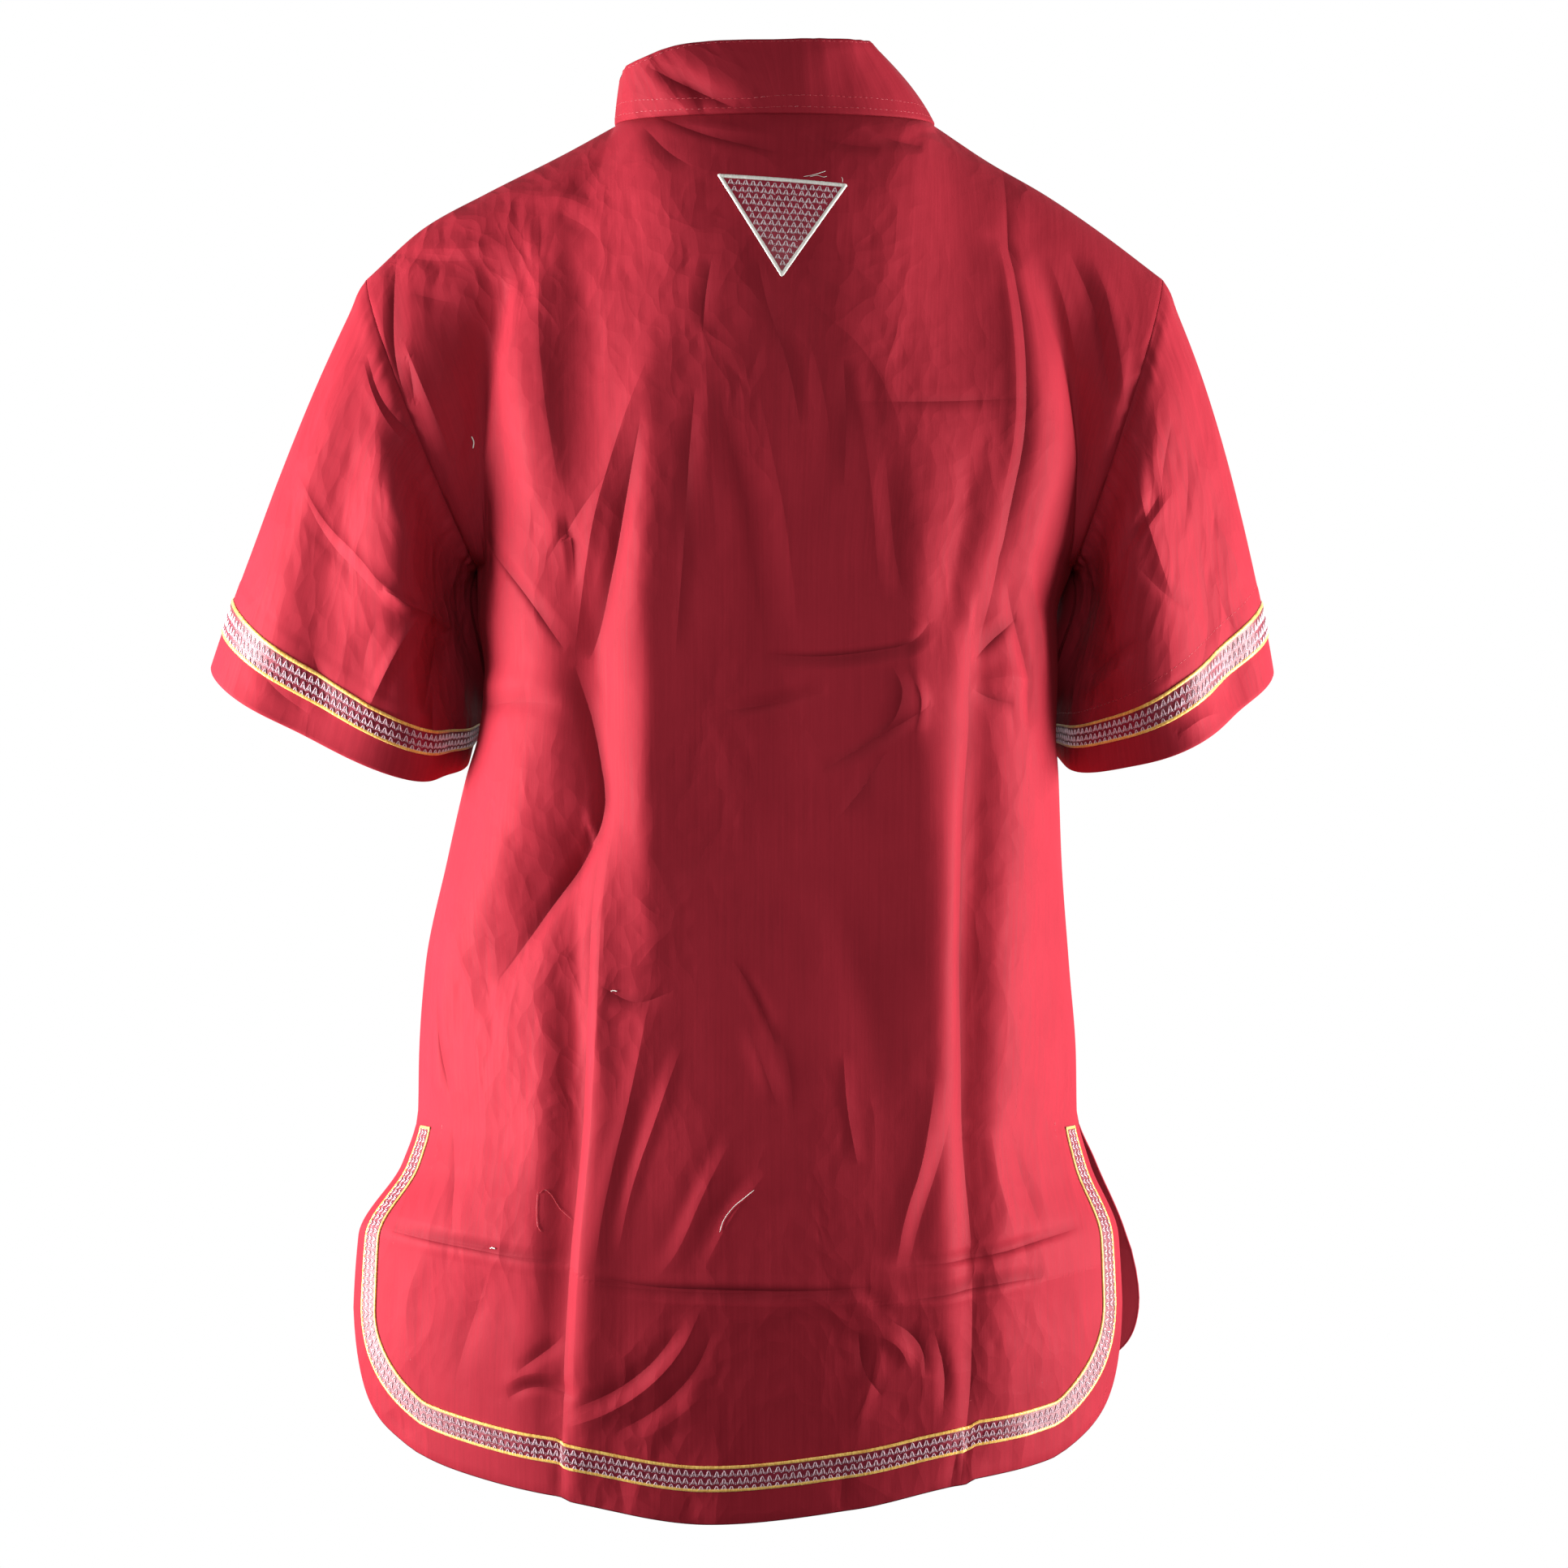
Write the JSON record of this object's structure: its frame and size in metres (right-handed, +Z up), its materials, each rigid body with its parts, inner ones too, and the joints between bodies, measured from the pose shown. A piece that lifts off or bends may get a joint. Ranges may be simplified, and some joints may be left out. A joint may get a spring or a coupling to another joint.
{
  "type": "dashiki shirt",
  "caption": "Hollow short-sleeved dashiki shirt as worn, with a stand collar, side slits, a rounded hem and embroidered trim.",
  "frame": {"origin": "midway between the points where the shoulder seams meet the collar, which is where the wearer's shoulders hold the shirt up", "axes": "+Z up along the wearer, +X towards the wearer's left, +Y towards the back of the shirt"},
  "size_m": [0.6204, 0.2596, 0.8347],
  "materials": {
    "cloth_red": "satin-faced cotton weave with a soft sheen",
    "trim_embroidery": "dark woven tape stitched with white and gold thread"
  },
  "bodies": {
    "root": {"back_panel": "cloth_red", "front_panel": "cloth_red", "sleeve_left": "cloth_red", "sleeve_right": "cloth_red", "collar_band": "cloth_red", "neck_placket": "cloth_red", "hem_band_back": "trim_embroidery", "hem_band_front": "trim_embroidery", "cuff_band_left": "trim_embroidery", "cuff_band_right": "trim_embroidery", "neck_triangle": "trim_embroidery"}
  },
  "joints": []
}
